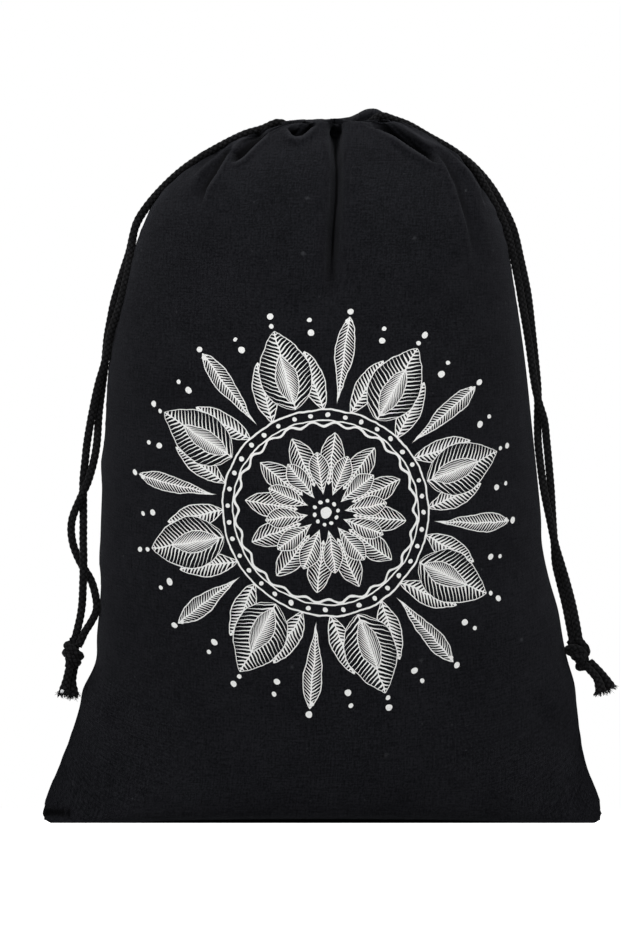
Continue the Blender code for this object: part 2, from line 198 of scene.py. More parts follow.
def rowPlaces():
    # places in the table of rows, finer towards the hem, and their lengths from the bottom seam along the cloth
    fine = [i / 60 for i in range(60 * (len(bag["rows"]) - 1) + 1)]
    along = lengthsAlong([Vector(rowAt(place)[3:5]) for place in fine])
    weights = [0.0]
    for a, b in zip(along, along[1:]):
        fromLip = along[-1] - (a + b) / 2
        step = bag["shortStep"] + (bag["longStep"] - bag["shortStep"]) * smoothStep(fromLip / 150.0)
        weights.append(weights[-1] + (b - a) / step)
    places = []
    for at, share in evenSteps(weights, round(weights[-1])):
        places.append((fine[at] + (fine[at + 1] - fine[at]) * share, along[at] + (along[at + 1] - along[at]) * share))
    return places, along[-1]


def columnPlaces():
    # places across the cloth from -1 to 1, closer together by the long crease
    fine = [i / 2000 for i in range(-2000, 2001)]
    weights = [0.0]
    for a in fine[:-1]:
        weights.append(weights[-1] + 1.0 + 2.4 * bell((a - 0.045) / 0.05))
    places = [fine[at] + share / 2000 for at, share in evenSteps(weights, bag["columns"])]
    places[0], places[-1] = -1.0, 1.0
    return places


def gatherTable(seed):
    # small pleats that die out below the hem: place, length, depth, half width
    rng = random.Random(seed)
    table = []
    for i in range(gathers["count"]):
        place = -0.8 + 1.6 * (i + rng.uniform(0.2, 0.8)) / gathers["count"]
        length = rng.uniform(gathers["shortest"], gathers["longest"])
        table.append((place, length, gathers["depth"] * rng.uniform(0.5, 1.2), rng.uniform(0.018, 0.032)))
    return table


def basePoint(front, across, place, fromLip, folds, pleats):
    row = rowAt(place)
    seamZ, left, right, sharp, level = row[0], row[1], row[2], row[7], row[8]
    middleY, middleZ = (row[3], row[4]) if front else (row[5], row[6])
    depthHere, halfWidth, middleX = abs(middleY), (right - left) / 2, (right + left) / 2
    flat = min(1.0, max(0.0, sharp - 1.0))
    sine, cosine = math.sin(across * math.pi / 2), max(0.0, math.cos(across * math.pi / 2))
    edge = bag["cloth"] * flat + bag["casingGap"] * smoothStep((seamZ - 372.4) / 2.6)
    y = edge + max(depthHere - edge, -edge) * cosine**sharp
    if front and across > 0:
        level += bag["rightLift"] * smoothStep((seamZ - 325.0) / 35.0) * smoothStep(across / 0.4)
    z = max(0.0, seamZ + (middleZ - seamZ) * min(1.0, level * cosine))
    fold = 0.0
    for atLip, atEnd, length, depth, width in folds:
        share = fromLip / length
        if share < 1.0:
            middle = atLip + (atEnd - atLip) * share
            fold += depth * (1 - smoothStep(share)) * bell((across - middle) / width)
    for middle, length, depth, width in pleats:
        share = fromLip / length
        if share < 1.0:
            fold += depth * (1 - share) ** 1.5 * bell((across - middle) / width)
    fold = min(fold, bag["foldShare"] * depthHere)
    out = Vector((sine / max(halfWidth, 1.0), cosine / max(depthHere, 1.0))).normalized()
    x = middleX + halfWidth * sine - out.x * fold
    for way, height, reach, spread in bag["sideBumps"]:
        if way * sine > 0.5:
            x += way * reach * bell((seamZ - height) / spread) * smoothStep((way * sine - 0.5) / 0.5)
    y = max(0.0, y - out.y * fold)
    z += bag["cornerLift"] * smoothStep((abs(x) - 146.0) / 4.0) * smoothStep((6.0 - z) / 6.0)
    if front:
        z += bag["frontArch"] * (1 - (x / 150.0) ** 2) * smoothStep(y / 30.0) * smoothStep((30.0 - z) / 30.0)
        dip = sum(drop * bell((x - at) / spread) for at, spread, drop in bag["lipDips"])
        z -= dip * smoothStep((10.0 - fromLip) / 10.0)
    elif fromLip < 9.0:
        peakX, peakWidth, peakHeight = bag["lipPeak"]
        z += peakHeight * (1 - fromLip / 9.0) * bell((x - peakX) / peakWidth)
    sign = -1.0 if front else 1.0
    return Vector((x, sign * (y + bag["seamGap"] / 2), z))


def creaseAt(creases, x, z):
    # how deep the creases are at this place, how far they draw the cloth over themselves, and the painted shading on
    # them:
    # above 0 a painted highlight on a rim or ridge, below 0 painted shade down in a hollow
    total, paintedShading, shift = 0.0, 0.0, Vector((0.0, 0.0, 0.0))
    for side, depth, width, route, ways in creases:
        reach = width * (3.2 if side == 0 else 1.5) + 4.0
        xs, zs = zip(*route)
        if not (min(xs) - reach < x < max(xs) + reach and min(zs) - reach < z < max(zs) + reach):
            continue
        nearest, place, signed, away = 1e9, 0.0, 0.0, Vector((0.0, 0.0, 0.0))
        for i, (a, b) in enumerate(zip(route, route[1:])):
            runX, runZ = b[0] - a[0], b[1] - a[1]
            t = ((x - a[0]) * runX + (z - a[1]) * runZ) / (runX * runX + runZ * runZ)
            t = min(1.0, max(0.0, t))
            awayX, awayZ = x - a[0] - runX * t, z - a[1] - runZ * t
            distance = math.hypot(awayX, awayZ)
            if distance < nearest:
                nearest, place = distance, (i + t) / (len(route) - 1)
                signed = distance if runX * awayZ - runZ * awayX > 0 else -distance
                away = Vector((awayX, 0.0, awayZ)) / max(distance, 1e-6)
        fadeOut = smoothStep((1.0 - place) / ways.get("end", 0.35))
        width *= 1 - (1 - ways.get("narrow", 1.0)) * smoothStep(place)
        fadeIn = 1.0 if ways.get("open") else smoothStep(place / ways.get("start", 0.22))
        fade = fadeIn * fadeOut
        if side == 0:
            t = nearest / width
            total += depth * fade * (math.exp(-(t**1.8)) - 0.05 * bell(t - 3.0))
            shift -= away * ways.get("pinch", 0.0) * fade * bell((nearest - 1.9) / 1.3)
            # painted shade down the core of the crease, with a faint painted highlight along its lips
            if "dark" in ways:
                paintedShading -= smoothStep((place - ways["dark"]) / 0.1) * fadeOut * math.exp(-((t / 1.1) ** 4))
                paintedShading += 0.04 * fade * bell((t - 2.2) / 0.7)
        else:
            s, steep = signed * side, 1.1
            drop = smoothStep((s + 0.2) / steep) * max(0.0, 1 - (max(0.0, s - steep) / width) ** 2) ** 1.3
            rim = 0.20 * bell((s + 1.6) / 1.6) + 0.10 * bell((s - width - 2.0) / 2.2)
            total += depth * fade * (drop - rim)
            # painted shade in the hollow until it is lit, painted highlight on the rim and, with ridge, along the far
            # side
            lit = smoothStep((s - ways.get("deep", 0.25) * width) / (0.6 * width))
            hollow = smoothStep((s + 0.1) / 0.8) * (1 - lit)
            paintedShading -= min(1.0, depth / 7.0) * fade * (hollow - 0.65 * bell((s + 0.8) / 0.8))
            paintedShading += ways.get("ridge", 0.0) * fade * bell((s - 1.1 * width) / 1.3)
            if s < 0:
                shift -= away * ways.get("over", 0.16) * depth * fade * bell((s + 0.6) / 1.2)
    return total, shift, min(1.0, max(-1.0, paintedShading))


def buildPanel(name, front, folds, creases):
    pleats = gatherTable(gathers["seed"] + (0 if front else 7))
    places, length = rowPlaces()
    acrosses = columnPlaces()
    columns = bag["columns"]
    base = [[basePoint(front, a, place, length - along, folds, pleats) for a in acrosses] for place, along in places]
    side = -1 if front else 1
    # painted highlight along the front hem's lip, painted shade down in the back hem's mouth
    lipPaintedShading, lipWidth = (0.35, 1.0) if front else (-0.3, 5.0)
    mesh = bmesh.new()
    uvLayer = mesh.loops.layers.uv.new("cloth")
    paintedShadingLayer = mesh.verts.layers.float.new("paintedShading")
    lipLayer = mesh.verts.layers.float.new("fromLip")
    grid, uvOf = [], {}
    rowsIn = len(base)
    centre = min(range(columns + 1), key=lambda j: abs(acrosses[j]))
    for i, row in enumerate(base):
        across = lengthsAlong(row)
        middle = across[centre]
        seamZ = rowAt(places[i][0])[0]
        fromLip = length - places[i][1]
        line = []
        for j, p in enumerate(row):
            down, up = base[max(i - 1, 0)][j], base[min(i + 1, rowsIn - 1)][j]
            before, after = row[max(j - 1, 0)], row[min(j + 1, columns)]
            normal = (after - before).cross(up - down)
            normal = normal.normalized() if normal.length > 1e-9 else Vector((0, side, 0))
            if not front:
                normal = -normal
            fromSeam = min(across[j], across[-1] - across[j])
            rest = smoothStep(p.z / 9.0) if seamZ < 60 else 1.0  # the base stays flat on the table
            calm = smoothStep(fromLip / 18.0)
            depth, shift, paintedShading = creaseAt(creases, p.x, p.z)
            depth *= smoothStep(fromSeam / 4.0) * rest
            inward = Vector((0.3 * normal.x, side * max(0.75, abs(normal.y)), 0.2 * normal.z))
            wave = math.sin(2 * math.pi * places[i][1] / puckers["length"] + 2.5 * noise.noise(p * 0.03))
            nearSeam = math.exp(-fromSeam / puckers["reach"]) * smoothStep(fromSeam / 3.0)
            push = puckers["depth"] * wave * nearSeam * (0.6 + noise.noise(p * 0.02)) * calm
            big = noise.noise(Vector((p.x / slack["size"], side * 3.7, p.z / (1.6 * slack["size"]))))
            small = noise.noise(Vector((p.x / slack["fineSize"], side * 9.1, p.z / (1.5 * slack["fineSize"]))))
            edgeCalm = smoothStep(fromSeam / 24.0)
            push += (slack["depth"] * big * edgeCalm + slack["fineDepth"] * small * edgeCalm) * calm
            if not front and backRim["low"] < p.z < backRim["high"]:
                share = (p.z - backRim["low"]) / (backRim["high"] - backRim["low"])
                spread = bell((acrosses[j] - backRim["across"]) / backRim["spread"])
                push += backRim["reach"] * math.sin(math.pi * share) ** 0.8 * spread
            moved = p + normal * push * rest - inward * depth + shift * smoothStep(fromSeam / 6.0)
            moved.z = max(moved.z, 0.0)
            least = bag["seamGap"] / 2 + 1.8 * smoothStep((bag["hem"] - fromLip) / 3.0)
            if side * moved.y < least:
                moved.y = side * least
            vertex = mesh.verts.new(moved * mm)
            vertex[lipLayer] = fromLip
            # painted shading: the creases' painted shade and highlights, with the lip's
            vertex[paintedShadingLayer] = paintedShading + lipPaintedShading * bell(fromLip / lipWidth)
            uvOf[vertex] = ((across[j] - middle) * mm, places[i][1] * mm)
            line.append(vertex)
        grid.append(line)
    for i in range(rowsIn - 1):
        for j in range(columns):
            corners = [grid[i][j], grid[i][j + 1], grid[i + 1][j + 1], grid[i + 1][j]]
            face = mesh.faces.new(corners if front else corners[::-1])
            face.smooth = True
            for loop in face.loops:
                loop[uvLayer].uv = uvOf[loop.vert]
    data = bpy.data.meshes.new(name)
    mesh.to_mesh(data)
    mesh.free()
    panel = bpy.data.objects.new(name, data)
    bpy.context.scene.collection.objects.link(panel)
    outerCount = len(data.vertices)
    thicken(panel, bag["cloth"] * mm)
    for vertex in panel.data.vertices:
        vertex.co.z = max(vertex.co.z, 0.0)
    pressHem(panel, side, outerCount)
    print(name, len(panel.data.polygons), "faces")
    return panel


def pressHem(panel, side, outerCount):
    # the inside of the hem is drawn to the middle, where the front and the back meet round the cords
    fromLips = panel.data.attributes["fromLip"].data
    for vertex in panel.data.vertices[outerCount:]:
        fromLip = fromLips[vertex.index].value
        share = smoothStep((bag["hem"] - fromLip) / 3.0)
        inside = panel.data.vertices[vertex.index - outerCount].co.copy()
        inside.y = side * 0.0001
        inside.z -= bag["mouthSink"] * mm * smoothStep((4.0 - fromLip) / 4.0)
        vertex.co = vertex.co.lerp(inside, share)
    panel.data.attributes.remove(panel.data.attributes["fromLip"])


def thicken(piece, depth):
    bpy.ops.object.select_all(action="DESELECT")
    bpy.context.view_layer.objects.active = piece
    piece.select_set(True)
    solid = piece.modifiers.new("cloth", "SOLIDIFY")
    solid.thickness = depth
    solid.offset = -1.0
    solid.use_rim = True
    solid.use_even_offset = False
    bpy.ops.object.modifier_apply(modifier=solid.name)


linen = {
    "black": (0.0013, 0.0014, 0.0021, 1.0),
    "faded": (0.0098, 0.0101, 0.0122, 1.0),
    "paintedHighlight": (0.0250, 0.0255, 0.0290, 1.0),  # painted highlight along the rims of the folds
    "deep": (0.0003, 0.0003, 0.0005, 1.0),  # painted shade down in the folds
    "lint": (0.026, 0.027, 0.030, 1.0),
    "ink": (0.66, 0.66, 0.65, 1.0),
    "pitch": 0.00055,
}
# the cord's tones: deep is both the painted shade between the plaits and its darker fibres
cordTone = {
    "deep": (0.0004, 0.0004, 0.0005, 1.0),
    "pale": (0.0098, 0.0098, 0.0106, 1.0),
    "bare": (0.55, 0.56, 0.57, 1.0),
}
printPlace = {"x": 0.003, "up": 0.2085, "turn": 0.13, "size": 1.05}


class Wire:
    # an output in a node tree, on which arithmetic adds math nodes
    def __init__(self, tree, socket):
        self.tree, self.socket = tree, socket

    def __add__(self, other):
        return calc("ADD", self, other)

    def __radd__(self, other):
        return calc("ADD", other, self)

    def __sub__(self, other):
        return calc("SUBTRACT", self, other)

    def __rsub__(self, other):
        return calc("SUBTRACT", other, self)

    def __mul__(self, other):
        return calc("MULTIPLY", self, other)

    def __rmul__(self, other):
        return calc("MULTIPLY", other, self)

    def __truediv__(self, other):
        return calc("DIVIDE", self, other)

    def __rtruediv__(self, other):
        return calc("DIVIDE", other, self)


def feed(node, values):
    for name, value in values.items():
        if isinstance(value, Wire):
            value.tree.links.new(value.socket, node.inputs[name])
        else:
            node.inputs[name].default_value = value


def addNode(tree, kind, values=(), **settings):
    node = tree.nodes.new(kind)
    for name, value in settings.items():
        setattr(node, name, value)
    feed(node, dict(values))
    return node


def outputsOf(tree, kind, values=(), **settings):
    return {output.name: Wire(tree, output) for output in addNode(tree, kind, values, **settings).outputs}


def calc(operation, *values, clamp=False):
    tree = next(value.tree for value in values if isinstance(value, Wire))
    node = addNode(tree, "ShaderNodeMath", enumerate(values), operation=operation, use_clamp=clamp)
    return Wire(tree, node.outputs[0])


def vectorCalc(operation, first, second):
    node = addNode(first.tree, "ShaderNodeVectorMath", {0: first, 1: second}, operation=operation)
    return Wire(first.tree, node.outputs[0])


def scaled(vector, x, y, z=0.0):
    return vectorCalc("MULTIPLY", vector, (x, y, z))


def noiseOf(vector, scale, detail=2.0, rough=0.5, output=0):
    values = {"Vector": vector, "Scale": scale, "Detail": detail, "Roughness": rough}
    return Wire(vector.tree, addNode(vector.tree, "ShaderNodeTexNoise", values).outputs[output])


def ramp(value, low, high, lowTo=0.0, highTo=1.0):
    values = enumerate((value, low, high, lowTo, highTo))
    node = addNode(value.tree, "ShaderNodeMapRange", values, interpolation_type="SMOOTHSTEP")
    return Wire(value.tree, node.outputs[0])


def mixColour(share, first, second):
    node = addNode(share.tree, "ShaderNodeMix", data_type="RGBA")
    feed(node, {0: share, 6: first, 7: second})
    return Wire(share.tree, node.outputs[2])


def addBump(tree, height, strength, distance):
    values = {"Height": height, "Strength": strength, "Distance": distance}
    return Wire(tree, addNode(tree, "ShaderNodeBump", values).outputs[0])


def newGroup(name, inputs, outputs):
    group = bpy.data.node_groups.new(name, "ShaderNodeTree")
    for way, labels in (("INPUT", inputs), ("OUTPUT", outputs)):
        for label in labels.split():
            kind = "NodeSocketVector" if label == "Vector" else "NodeSocketFloat"
            group.interface.new_socket(name=label, in_out=way, socket_type=kind)
    return group, outputsOf(group, "NodeGroupInput"), addNode(group, "NodeGroupOutput")


def placeGroup(tree, group, **values):
    return outputsOf(tree, "ShaderNodeGroup", values, node_tree=group)


def weaveGroup():
    # plain weave: threads that pass over and under each other, uneven in thickness and tone
    group, given, out = newGroup("plainWeave", "Vector Pitch", "Height Tone")
    vector, pitch = given["Vector"], given["Pitch"]
    shift = (noiseOf(vector, 260.0, 1.0) - 0.5) * 0.7
    threads = outputsOf(group, "ShaderNodeSeparateXYZ", {0: vector})
    u = threads["X"] / pitch + shift
    v = threads["Y"] / pitch - shift
    parity = calc("FLOORED_MODULO", calc("FLOOR", u) + calc("FLOOR", v), 2.0)
    roundU = calc("SINE", calc("FRACT", u) * math.pi)
    roundV = calc("SINE", calc("FRACT", v) * math.pi)
    warp = roundU * (0.45 + roundV * 0.55)
    weft = roundV * (0.45 + roundU * 0.55)
    weave = warp * parity + weft * (1.0 - parity)
    slubWarp = noiseOf(scaled(vector, 1.0, 0.06), 1700.0, 1.0)
    slubWeft = noiseOf(scaled(vector, 0.06, 1.0), 1700.0, 1.0)
    slubs = slubWarp * 0.5 + slubWeft * 0.5
    nap = noiseOf(vector, 850.0, 4.0, 0.75)
    feed(out, {"Height": weave * (0.55 + slubs), "Tone": slubs * 0.38 + nap * 0.62})
    return group


def lintGroup():
    # pale neps and fluff caught in the cloth, few and small
    group, given, out = newGroup("lint", "Vector Scale Share", "Mask")
    wander = vectorCalc("SUBTRACT", noiseOf(given["Vector"], 900.0, 3.0, output=1), (0.5, 0.5, 0.5))
    ragged = vectorCalc("ADD", given["Vector"], scaled(wander, 0.003, 0.003))
    cells = outputsOf(group, "ShaderNodeTexVoronoi", {"Vector": ragged, "Scale": given["Scale"]}, feature="F1")
    tint = outputsOf(group, "ShaderNodeSeparateColor", {0: cells["Color"]})
    chosen = calc("LESS_THAN", tint["Red"], given["Share"])
    size = calc("MULTIPLY_ADD", tint["Green"], 0.13, 0.05)
    inside = calc("SUBTRACT", 1.0, cells["Distance"] / size, clamp=True)
    feed(out, {"Mask": inside * chosen})
    return group


def sectorAngle(given):
    # the angle from the middle of the nearest of Count equal sectors
    sector = 2 * math.pi / given["Count"]
    return calc("FLOORED_MODULO", given["Angle"] + given["Turn"], sector) - sector * 0.5


def petalGroup():
    # a ring of petals or leaves, each with an outline, a midrib and slanting hatch lines
    labels = "Radius Angle Count Turn Start End Width Skew Tilt Line Hatch Slant Ink"
    group, given, out = newGroup("petalRing", labels, "Fill Ink")
    radius, start, line, local = given["Radius"], given["Start"], given["Line"], sectorAngle(given)
    x = radius * calc("COSINE", local) - start
    y = radius * calc("SINE", local)
    leanCos, leanSin = calc("COSINE", given["Tilt"]), calc("SINE", given["Tilt"])
    along = x * leanCos + y * leanSin
    side = calc("ABSOLUTE", y * leanCos - x * leanSin)
    share = calc("DIVIDE", along, given["End"] - start, clamp=True)
    bulge = calc("SINE", calc("POWER", share, given["Skew"]) * math.pi)
    edge = given["Width"] * calc("POWER", bulge, 0.8)
    fill = ramp(edge - side, 0.0, 0.12)
    outline = calc("LESS_THAN", edge - side, line)
    rib = calc("LESS_THAN", side, line * 0.6)
    stripes = calc("FRACT", (along - side * given["Slant"]) / given["Hatch"])
    hatch = calc("LESS_THAN", stripes, given["Ink"] * (1.15 - side / edge))
    lines = calc("MAXIMUM", calc("MAXIMUM", outline, rib), hatch)
    feed(out, {"Fill": fill, "Ink": lines * fill})
    return group


def dotGroup():
    group, given, out = newGroup("dotRing", "Radius Angle Count Turn At Size", "Ink")
    local = sectorAngle(given)
    x = given["Radius"] * calc("COSINE", local) - given["At"]
    y = given["Radius"] * calc("SINE", local)
    feed(out, {"Ink": ramp(calc("SQRT", x * x + y * y), given["Size"] + 0.1, given["Size"])})
    return group


# The printed rosette, from the middle out, in mm. Later rows lie behind earlier ones.
petalColumns = "Count Turn Start End Width Skew Tilt Hatch Slant Ink".split()
rosettePetals = [
    (12, 0.0, 9, 31, 5.2, 1.5, 0.0, 1.5, 0.9, 0.55),
    (12, 0.2618, 14, 41, 6.2, 1.2, 0.0, 1.9, -0.9, 0.45),
    (8, 0.0, 57, 84, 5.6, 0.9, 0.0, 1.6, -1.4, 0.75),
    (8, 0.0, 54, 96, 13.5, 0.8, 0.0, 2.3, 0.7, 0.42),
    (8, 0.26, 52, 84, 6.0, 1.0, 0.3, 2.0, 0.8, 0.6),
    (8, 0.525, 52, 84, 6.0, 1.0, -0.3, 2.0, 0.8, 0.6),
    (8, 0.3927, 55, 101, 5.0, 1.7, 0.0, 1.7, -0.8, 0.5),
]
rosetteDots = [  # count, distance from the middle, radius, turn
    (1, 0.0, 2.6, 0.0),
    (10, 5.9, 0.95, 0.0),
    (36, 49.6, 1.15, 0.0),
    (16, 92.0, 1.6, 0.0),
    (32, 98.5, 1.1, 0.09),
    (16, 103.6, 1.5, 0.196),
]
rosetteRings = [(45.2, 0.55, 1.1, 24), (46.9, 0.3, 0.0, 1), (52.4, 0.4, 0.0, 1)]  # radius, line, wave, waves
petalLine = 0.55


def printGroup():
    petalRing, dotRing = petalGroup(), dotGroup()
    group, given, out = newGroup("rosettePrint", "Vector", "Mask")
    centred = vectorCalc("SUBTRACT", given["Vector"], (printPlace["x"], printPlace["up"], 0.0))
    inMm = scaled(centred, 985.0 / printPlace["size"], 1000.0 / printPlace["size"])
    parts = outputsOf(group, "ShaderNodeSeparateXYZ", {0: inMm})
    x = parts["X"] + calc("MULTIPLY_ADD", noiseOf(inMm, 0.10), 2.4, -1.2)
    y = parts["Y"] + calc("MULTIPLY_ADD", noiseOf(scaled(inMm, -1.0, 1.0), 0.11), 2.4, -1.2)
    radius = calc("SQRT", x * x + y * y)
    angle = calc("ARCTAN2", y, x) + (printPlace["turn"] + 2 * math.pi)
    ink = 0.0
    for row in reversed(rosettePetals):
        values = dict(zip(petalColumns, row))
        made = placeGroup(group, petalRing, Radius=radius, Angle=angle, Line=petalLine, **values)
        ink = calc("MAXIMUM", ink * (1.0 - made["Fill"]), made["Ink"])
    for count, at, size, turn in rosetteDots:
        made = placeGroup(group, dotRing, Radius=radius, Angle=angle, Count=count, Turn=turn, At=at, Size=size)
        ink = calc("MAXIMUM", ink, made["Ink"])
    for at, line, wave, count in rosetteRings:
        ripple = calc("COSINE", angle * float(count)) * wave
        ink = calc("MAXIMUM", ink, ramp(calc("ABSOLUTE", radius - at - ripple), line + 0.1, line))
    feed(out, {"Mask": ink})
    return group


def newMaterial(name):
    material = bpy.data.materials.new(name)
    material.use_nodes = True
    return material, material.node_tree, material.node_tree.nodes["Principled BSDF"]


def linenMaterial(name, weave, lint, motif=None):
    material, tree, shader = newMaterial(name)
    uv = outputsOf(tree, "ShaderNodeUVMap", uv_map="cloth")["UV"]
    cloth = placeGroup(tree, weave, Vector=uv, Pitch=linen["pitch"])
    tone = cloth["Tone"] + (noiseOf(uv, 30.0, 3.0, 0.6) - 0.5) * 0.13
    colour = mixColour(ramp(tone, 0.37, 0.66), linen["black"], linen["faded"])
    specks = placeGroup(tree, lint, Vector=uv, Scale=240.0, Share=0.09)["Mask"]
    neps = placeGroup(tree, lint, Vector=uv, Scale=100.0, Share=0.14)["Mask"]
    fluff = calc("MAXIMUM", specks, neps)
    colour = mixColour(calc("MULTIPLY", fluff, 0.9, clamp=True), colour, linen["lint"])
    # painted shading from the panels: painted highlight lightens rims and ridges, painted shade darkens the hollows
    paintedShading = outputsOf(tree, "ShaderNodeAttribute", attribute_name="paintedShading")["Fac"]
    colour = mixColour(ramp(paintedShading, 0.0, 1.0, 0.0, 0.55), colour, linen["paintedHighlight"])
    colour = mixColour(ramp(paintedShading, 0.0, -0.9, 0.0, 0.92), colour, linen["deep"])
    height, rough = cloth["Height"], 0.92
    if motif:
        mask = placeGroup(tree, motif, Vector=uv)["Mask"]
        cover = mask * ramp(height, 0.02, 0.30, 0.55, 1.0) * ramp(cloth["Tone"], 0.30, 0.46, 0.72, 1.0)
        colour = mixColour(cover, colour, linen["ink"])
        height = height * (1.0 - mask * 0.35)
        rough = ramp(cover, 0.0, 1.0, rough, 0.62)
    values = {"Base Color": colour, "Roughness": rough, "Specular IOR Level": 0.05}
    values |= {"Sheen Weight": 0.035, "Sheen Roughness": 0.4, "Sheen Tint": (0.85, 0.88, 1.0, 1.0)}
    values["Normal"] = addBump(tree, height + fluff * 1.5, 0.55, 0.00022)
    feed(shader, values)
    return material


def plaitGroup():
    # the tone of a round braid with painted shade: dark between the diamonds, where the grooves lie in shade, with
    # the fibres of each leaning one way or the other
    group, given, out = newGroup("roundPlait", "Vector", "Light")
    parts = outputsOf(group, "ShaderNodeSeparateXYZ", {0: given["Vector"]})
    angle, along = parts["X"] * (2 * math.pi), parts["Y"] * (2 * math.pi)
    diamond = (calc("COSINE", angle * 4.0) + calc("COSINE", along)) * 0.5
    relief = calc("POWER", calc("ABSOLUTE", diamond), 0.5)
    slanted = calc("MULTIPLY_ADD", angle * 4.0, calc("SIGN", diamond), along)
    fibres = calc("MULTIPLY_ADD", calc("SINE", slanted * 2.0), 0.16, 0.84)
    feed(out, {"Light": ramp(relief, 0.15, 0.95) * fibres})
    return group


def cordMaterial():
    material, tree, shader = newMaterial("braidedCotton")
    uv = outputsOf(tree, "ShaderNodeUVMap", uv_map="cord")["UV"]
    light = placeGroup(tree, plaitGroup(), Vector=uv)["Light"]
    place = outputsOf(tree, "ShaderNodeTexCoord")["Object"]
    fuzz = noiseOf(place, 900.0, 4.0, 0.7)
    worn = ramp(noiseOf(place, 160.0, 2.0), 0.3, 0.7, 0.7, 1.2)
    # the cord's colour: painted shade between the plaits, times random fuzz and worn tone
    share = calc("MULTIPLY", light, ramp(fuzz, 0.3, 0.7, 0.35, 1.3) * worn, clamp=True)
    colour = mixColour(share, cordTone["deep"], cordTone["pale"])
    bare = outputsOf(tree, "ShaderNodeAttribute", attribute_name="bare")["Fac"]
    values = {"Base Color": mixColour(bare, colour, cordTone["bare"]), "Roughness": 0.9}
    values |= {"Specular IOR Level": 0.06, "Sheen Weight": 0.04, "Sheen Roughness": 0.4}
    values["Normal"] = addBump(tree, fuzz + light, 0.5, 0.00015)
    feed(shader, values)
    return material


cord = {
    "diameter": 0.004,
    "plait": 0.0030,  # length of one plait
    "relief": 0.16,
    "step": 0.0005,
    "sides": 24,
}
# Each row, in mm: x, y, z of the middle of the pair, half its gap, and its turn in degrees.
leftPair = [
    (-13.0, 0.0, 372.2, 2.3, 90),
    (-18.0, 0.0, 375.8, 2.3, 90),
    (-24.4, 0.0, 377.8, 2.3, 90),
    (-32.6, 0.0, 374.5, 2.3, 90),
    (-42.2, 0.0, 371.6, 2.3, 90),
    (-53.4, 0.0, 366.2, 2.3, 90),
    (-64.6, 0.0, 359.8, 2.3, 90),
    (-74.4, 0.0, 353.2, 2.3, 90),
    (-84.2, 0.0, 344.6, 2.3, 90),
    (-94.2, 0.0, 333.4, 2.3, 90),
    (-100.8, 0.0, 322.4, 2.3, 90),
    (-103.8, -1.6, 308.1, 2.3, 103),
    (-106.1, -4.2, 297.8, 2.3, 126),
    (-109.0, -6.2, 286.8, 2.3, 138),
    (-111.1, -6.4, 278.8, 2.3, 140),
    (-113.1, -5.4, 271.2, 2.3, 124),
    (-115.3, -4.0, 262.5, 2.3, 108),
    (-116.5, -3.0, 253.5, 2.3, 101),
    (-118.1, -2.0, 244.5, 2.3, 82),
    (-119.9, -1.3, 236.0, 2.3, 63),
    (-122.4, -1.2, 221.0, 2.3, 40),
    (-124.2, -1.5, 205.9, 2.6, 0),
    (-125.7, -1.8, 195.1, 2.4, -14),
    (-127.8, -2.0, 184.0, 2.3, -55),
    (-129.6, -2.2, 175.6, 2.3, -104),
    (-132.0, -2.4, 162.8, 3.1, -172),
    (-131.9, -2.6, 152.0, 3.0, -192),
    (-129.8, -2.8, 141.2, 2.7, -246),
    (-126.9, -3.0, 130.4, 2.7, -322),
    (-125.7, -3.0, 120.5, 3.7, -358),
    (-125.9, -3.0, 114.8, 4.0, -362),
    (-127.7, -3.0, 109.2, 3.2, -368),
    (-129.9, -3.0, 104.0, 2.3, -376),
    (-131.8, -3.0, 98.6, 2.0, -392),
    (-133.0, -3.0, 95.8, 1.8, -392),
]
rightPair = [
    (21.8, 0.0, 372.2, 2.3, 90),
    (25.8, 0.0, 377.6, 2.3, 90),
    (31.4, 0.0, 381.5, 2.3, 90),
    (38.6, 0.0, 379.5, 2.3, 90),
    (46.8, 0.0, 376.4, 2.3, 90),
    (57.4, 0.0, 370.3, 2.3, 90),
    (68.4, 0.0, 364.1, 2.3, 90),
    (77.4, 0.0, 357.8, 2.3, 84),
    (84.2, 0.0, 350.7, 2.3, 70),
    (89.9, 0.0, 342.4, 2.2, 46),
    (95.4, -0.4, 332.8, 2.0, 30),
    (101.4, -0.6, 319.6, 1.9, 20),
    (105.2, -0.8, 303.4, 1.9, 18),
    (107.7, -1.0, 291.5, 2.0, 22),
    (109.4, -1.0, 281.4, 2.3, 34),
    (112.4, -1.0, 259.8, 2.3, 56),
    (115.0, -1.0, 238.2, 2.3, 68),
    (116.3, -1.2, 227.5, 2.3, 92),
    (117.8, -1.4, 216.7, 2.3, 140),
    (118.5, -1.6, 205.9, 2.3, 176),
    (119.6, -1.8, 194.6, 2.3, 186),
    (121.3, -2.0, 179.0, 2.3, 214),
    (123.4, -2.0, 162.8, 2.2, 250),
    (125.2, -2.2, 150.0, 2.2, 274),
    (127.0, -2.4, 139.8, 2.1, 310),
    (129.8, -2.6, 129.2, 2.0, 328),
    (132.6, -2.8, 118.2, 2.0, 333),
    (134.6, -3.0, 108.4, 2.0, 336),
    (136.4, -3.0, 98.8, 1.9, 338),
    (137.4, -3.0, 95.4, 1.8, 338),
]
